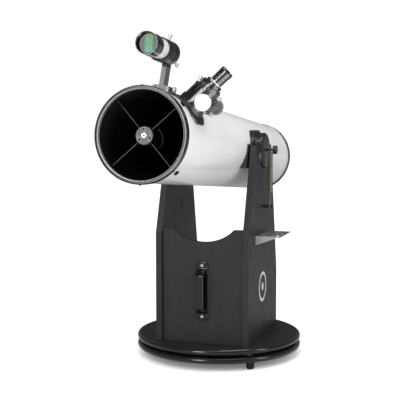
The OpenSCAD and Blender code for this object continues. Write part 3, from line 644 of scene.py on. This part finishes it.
def cut_hole(piece, direction, centre, radius, start, length):
    """Cuts a round hole through a piece and keeps the result as its mesh."""
    mesh = bpy.data.meshes.new("cutter")
    work = bmesh.new()
    side = direction.orthogonal().normalized()
    other = direction.cross(side)
    ends = []
    for distance in (start, start + length):
        rim = arc(centre + distance * direction, radius, 0, 360, 64, side, other)[:-1]
        ends.append([work.verts.new(p) for p in rim])
    skin(work, ends)
    work.faces.new(ends[0][::-1])
    work.faces.new(ends[1])
    bmesh.ops.recalc_face_normals(work, faces=work.faces)
    work.to_mesh(mesh)
    work.free()
    cutter = bpy.data.objects.new("cutter", mesh)
    bpy.context.scene.collection.objects.link(cutter)
    cut = piece.modifiers.new("hole", "BOOLEAN")
    cut.operation = "DIFFERENCE"
    cut.solver = "EXACT"
    cut.object = cutter
    bpy.context.view_layer.update()
    result = bpy.data.meshes.new_from_object(piece.evaluated_get(bpy.context.evaluated_depsgraph_get()))
    piece.modifiers.clear()
    piece.data = result
    bpy.data.objects.remove(cutter)


tube = new_mesh("tube_shell", build_tube, "tube", "tube_paint")
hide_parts("optical_tube")
FOCUSER_HOLE_R = 29 * MM
cut_hole(tube, OUTWARD, middle("drawtube"), FOCUSER_HOLE_R, -90 * MM, 100 * MM)


def ring_outline(inner, outer):
    """Section of the cast front ring, as (distance behind its face, radius), in metres."""
    seat = radii("optical_tube", FORWARD)[1]
    rear, front = reach("front_ring", FORWARD)
    length = front - rear
    lip, lip_wall, face = 10 * MM, 1.6 * MM, 3 * MM
    chamfer, edge, corner = 1.2 * MM, 0.35 * MM, 2.6 * MM
    points = [(length, seat), (length, outer - chamfer), (length - 1.0 * MM, outer)]
    # groove round the outside
    channel, deep, wide, slope = 10.9 * MM, 0.9 * MM, 0.7 * MM, 0.6 * MM
    points += [(channel + wide + slope, outer), (channel + wide, outer - deep)]
    points += [(channel - wide, outer - deep), (channel - wide - slope, outer), (corner, outer)]
    for i in range(1, 9):
        turn = math.pi / 2 * i / 8
        points.append((corner * (1 - math.sin(turn)), outer - corner * (1 - math.cos(turn))))
    # groove round the front face
    middle_r, deep, wide, slope = (inner + outer) / 2 - 0.6 * MM, 1.3 * MM, 0.6 * MM, 0.5 * MM
    points += [(0.0, middle_r + wide + slope), (deep, middle_r + wide)]
    points += [(deep, middle_r - wide), (0.0, middle_r - wide - slope)]
    # rounded inner edge, then the lip's bore and back
    points += [(0.0, inner + chamfer), (edge, inner + edge), (chamfer, inner)]
    points += [(lip, inner), (lip, inner + lip_wall), (face, inner + lip_wall), (face, seat)]
    return points


def build_front_ring(work):
    face = reach("front_ring", FORWARD)[1]
    inner, outer = radii("front_ring", FORWARD)
    loops = [round_the_tube(work, face - back, r, ROUND) for back, r in ring_outline(inner, outer)]
    skin(work, loops, closed=True)


front_ring = new_mesh("front_ring_casting", build_front_ring, "tube", "front_ring_metal")
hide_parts("front_ring")


# ---------- carry handle ----------


def ease(d, start, end):
    """0 before start, 1 after end, smooth between."""
    share = min(max((d - start) / (end - start), 0.0), 1.0)
    return (1 - math.cos(math.pi * share)) / 2


def build_handle(work):
    """Moulded strap: a back plate with round ends, and a grip that rises from it in front."""
    low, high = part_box("carry_handle")
    face = high.y
    total = high.z - low.z
    half = (high.x - low.x) / 2
    stand = high.y - low.y
    end_r = 12 * MM
    thick = 3 * MM
    narrowing = 7 * MM                   # the grip is this much slimmer than the plate on each side
    grip_thick = 10.5 * MM

    def plate_half(d):
        if d >= end_r:
            return half
        return half - end_r + math.sqrt(max(0.0, end_r ** 2 - (end_r - d) ** 2))

    def section(z, width, inside, outside, round_over):
        """Rounded rectangle at one height, from inside to outside in front of the board."""
        points = []
        r = min(round_over, width * 0.95, (outside - inside) * 0.49)
        for cx, cy, start in (
            (width - r, outside - r, 0),
            (r - width, outside - r, 90),
            (r - width, inside + r, 180),
            (width - r, inside + r, 270),
        ):
            for i in range(7):
                angle = math.radians(start + 15 * i)
                points.append(Vector((cx + r * math.cos(angle), face - cy - r * math.sin(angle), z)))
        return [work.verts.new(p) for p in points]

    def loft(stations):
        rings = [section(*station) for station in stations]
        skin(work, rings)
        work.faces.new(rings[0][::-1])
        work.faces.new(rings[-1])

    def near(z):
        return min(z - low.z, high.z - z)

    round_end = [0.15 * MM, 0.6 * MM, 1.4 * MM, 2.6 * MM, 4.2 * MM, 6.2 * MM, 9.0 * MM]
    steps = round_end + [end_r + 2 * MM * i for i in range(20)]
    heights = [low.z + s for s in steps]
    heights += [low.z + total / 2] + [high.z - s for s in reversed(steps)]
    loft([(z, plate_half(near(z)), 0.0, thick, 0.9 * MM) for z in heights])

    def grip_at(z):
        d = near(z)
        width = plate_half(d) - narrowing * ease(d, 8 * MM, 38 * MM)
        outside = 2 * thick + (stand - 2 * thick) * ease(d, 19 * MM, 39 * MM)
        inside = 0.5 * MM + (stand - grip_thick) * ease(d, 24 * MM, 44 * MM)
        return z, width, inside, outside, 2.2 * MM

    loft([grip_at(z) for z in heights])


handle = new_mesh("handle_moulding", build_handle, "rocker", "handle_plastic", sharp=math.radians(70))
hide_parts("carry_handle")


# ---------- springs ----------

WIRE = 1.25 * MM


def tension_spring_path(side):
    """One wire: hook round the altitude knob's shank, close coils, then the long loop round the peg."""
    low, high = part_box("tension_springs")
    hook_r = 7 * MM
    loop_r = 6.8 * MM
    long_loop = 50 * MM
    x = side * (high.x - hook_r)
    coil_r = hook_r - WIRE
    top = AXIS.z - hook_r - 2 * MM
    bottom = low.z + long_loop
    peg = Vector((x, 0, middle("spring_pegs").z))
    path = arc(Vector((x, 0, AXIS.z)), hook_r, -250, 60, 30, BACKWARD, SKYWARD)[::-1]
    pitch = 2.15 * WIRE
    turns = int((top - bottom) / pitch)
    per_turn = 14
    for i in range(turns * per_turn + 1):
        angle = 2 * math.pi * i / per_turn
        height = top + (bottom - top) * i / (turns * per_turn)
        path.append(Vector((x + coil_r * math.sin(angle), coil_r * math.cos(angle), height)))
    path.append(Vector((x, loop_r * 0.9, bottom - 5 * MM)))
    path.append(Vector((x, loop_r, bottom - 10 * MM)))
    path += arc(peg, loop_r, 0, -180, 16, BACKWARD, SKYWARD)
    path.append(Vector((x, -loop_r, bottom - 10 * MM)))
    path.append(Vector((x, -loop_r * 0.5, bottom - 3 * MM)))
    return path


def build_tension_springs(work):
    for side in (1, -1):
        sweep(work, tension_spring_path(side), WIRE)


springs = new_mesh("tension_spring_coils", build_tension_springs, "rocker", "spring_steel")
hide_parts("tension_springs")


def build_collimation_springs(work):
    """Three short springs round the collimation screws, in the room that their CAD sleeves hold."""
    rear, front = reach("collimation_springs", FORWARD)
    wire = 1.0 * MM
    coil_r = 5.4 * MM
    turns, per_turn = 6, 16
    for knob in (1, 2, 3):
        screw = Vector(JOINTS[f"collimation_knob_{knob}_turn"]["pos_m"]) - AXIS
        centre = AXIS + screw - screw.dot(FORWARD) * FORWARD
        path = []
        for i in range(turns * per_turn + 1):
            angle = 2 * math.pi * i / per_turn
            distance = front - wire + (rear - front + 2 * wire) * i / (turns * per_turn)
            coil_turn_and_lip_highlight = math.cos(angle) * ACROSS + math.sin(angle) * UPRIGHT
            path.append(centre + distance * FORWARD + coil_r * coil_turn_and_lip_highlight)
        sweep(work, path, wire)


cell_springs = new_mesh("collimation_spring_coils", build_collimation_springs, "tube", "zinc_steel")
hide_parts("collimation_springs")


# ---------- small details ----------


def build_mark(work):
    """A ring with a dot in it, printed on the outside of the right panel."""
    print_height = 0.15 * MM
    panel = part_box("side_panel_right")[1].x
    centre = Vector((panel + print_height, -8 * MM, 191 * MM))
    steps = 72

    def ring(inner, outer):
        circles = [arc(centre, r, 0, 360, steps, BACKWARD, SKYWARD)[:-1] for r in (inner, outer)]
        skin(work, [[work.verts.new(p) for p in circle] for circle in circles])

    ring(37 * MM, 46 * MM)
    dot = arc(centre, 12 * MM, 0, 360, steps, BACKWARD, SKYWARD)[:-1]
    work.faces.new([work.verts.new(p) for p in dot])


new_mesh("panel_mark", build_mark, "rocker", "decal_ink", smooth=False)


def build_eye_lens(work):
    """Shallow dome of the eyepiece's eye lens, at the bottom of its cup."""
    body = middle("eyepiece_body")
    top = reach("eyepiece_body", OUTWARD)[1] - (body - AXIS).dot(OUTWARD)
    radius, rise, cup_depth = 9.6 * MM, 1.6 * MM, 7.8 * MM
    height = top - cup_depth
    side = OUTWARD.orthogonal().normalized()
    other = OUTWARD.cross(side)
    rings, steps = 6, 40
    loops = []
    for j in range(1, rings + 1):
        dome = height + rise * (1 - (j / rings) ** 2)
        circle = arc(body + dome * OUTWARD, radius * j / rings, 0, 360, steps, side, other)[:-1]
        loops.append([work.verts.new(p) for p in circle])
    skin(work, loops)
    work.faces.new(loops[0])


new_mesh("eye_lens", build_eye_lens, "eyepiece", "eye_glass")


# ---------- studio ----------


FLOOR_BOUNCE = (0.24, 0.24, 0.24)        # what the floor sends back up to the object
FLOOR_LIFT = 0.15


def floor():
    """Pale paper under the object, dimmer in the light it throws back than in what is seen of it."""
    mesh = bpy.data.meshes.new("floor")
    half = 30.0
    level = CAD_BOUNDS[0][2]
    corners = [(-half, -half, level), (half, -half, level), (half, half, level), (-half, half, level)]
    mesh.from_pydata(corners, [], [(0, 1, 2, 3)])
    sheet = bpy.data.objects.new("floor", mesh)
    bpy.context.scene.collection.objects.link(sheet)
    look = Look("floor_paper")
    camera_sees = look.node("ShaderNodeLightPath").outputs["Is Camera Ray"]
    grain = look.noise(300.0, 3.0)
    paper = look.mix(grain, (0.74, 0.74, 0.74), (0.77, 0.77, 0.77))
    look.set(
        Base_Color=look.mix(camera_sees, FLOOR_BOUNCE, paper),
        Roughness=0.9,
        Specular_IOR_Level=0.1,
        Emission_Color=(1.0, 1.0, 1.0),
        Emission_Strength=look.math("MULTIPLY", camera_sees, FLOOR_LIFT),
    )
    look.material.cycles.emission_sampling = "NONE"
    sheet.data.materials.append(look.material)


def backdrop():
    """White behind the object, a dim room for diffuse light and a darker one for reflections."""
    world = bpy.data.worlds.new("studio")
    bpy.context.scene.world = world
    world.use_nodes = True
    tree = world.node_tree
    path = tree.nodes.new("ShaderNodeLightPath")

    def choose(ray, value_if_not, value_if):
        pick = tree.nodes.new("ShaderNodeMix")
        pick.data_type = "FLOAT"
        tree.links.new(path.outputs[ray], pick.inputs[0])
        if isinstance(value_if_not, float):
            pick.inputs[2].default_value = value_if_not
        else:
            tree.links.new(value_if_not, pick.inputs[2])
        pick.inputs[3].default_value = value_if
        return pick.outputs[0]

    room = choose("Is Glossy Ray", 0.46, 0.11)
    seen = choose("Is Camera Ray", room, 1.05)
    tree.links.new(seen, tree.nodes["Background"].inputs["Strength"])
    tree.nodes["Background"].inputs["Color"].default_value = (1.0, 1.0, 1.0, 1.0)


def lamp(name, kind, place, aim, energy, mirrored=True, **settings):
    """A light out of the picture; one that isn't mirrored lights surfaces but gives no highlight."""
    light = bpy.data.lights.new(name, kind)
    light.energy = energy
    for key, value in settings.items():
        setattr(light, key, value)
    piece = bpy.data.objects.new(name, light)
    piece.location = place
    piece.rotation_euler = (Vector(aim) - Vector(place)).to_track_quat("-Z", "Y").to_euler()
    piece.visible_glossy = mirrored
    piece.visible_camera = False
    bpy.context.scene.collection.objects.link(piece)


def studio():
    floor()
    backdrop()
    lamp("key", "SUN", (-0.9, -2.6, 2.6), (0, 0, 0), 1.75, False, angle=math.radians(60))
    lamp("top", "SUN", (0.9, 0.3, 3.0), (0, 0, 0), 1.9, False, angle=math.radians(130))
    lamp("fill", "SUN", (3.0, -1.2, 1.2), (0, 0, 0), 0.85, False, angle=math.radians(70))
    tall = {"shape": "RECTANGLE", "size": 0.5, "size_y": 2.2}
    wide = {"shape": "RECTANGLE", "size": 2.4, "size_y": 0.8}
    lamp("strip", "AREA", (-0.5, -2.75, 1.1), (0, 0, 0.3), 18, shape="RECTANGLE", size=0.7, size_y=1.2)
    lamp("overhead", "AREA", (0.4, -0.6, 3.0), (0, -0.2, 0.6), 30, **wide)
    lamp("side", "AREA", (3.0, -0.6, 1.5), (0, 0, 0.6), 12, **tall)
    lamp("low", "AREA", (0.65, -1.1, 0.03), (0.64, -1.1, 1.0), 7, shape="RECTANGLE", size=1.2, size_y=0.6)
    view = bpy.context.scene.view_settings
    view.view_transform = "Standard"
    view.exposure = 0.0


def camera():
    lens = bpy.data.cameras.new("camera")
    lens.lens = CAMERA_LENS
    lens.sensor_width = 36.0
    lens.clip_end = 60.0
    shot = bpy.data.objects.new("camera", lens)
    shot.location = CAMERA_AT
    shot.rotation_euler = (math.radians(CAMERA_PITCH), 0.0, math.radians(CAMERA_YAW))
    bpy.context.scene.collection.objects.link(shot)
    bpy.context.scene.camera = shot


studio()
camera()
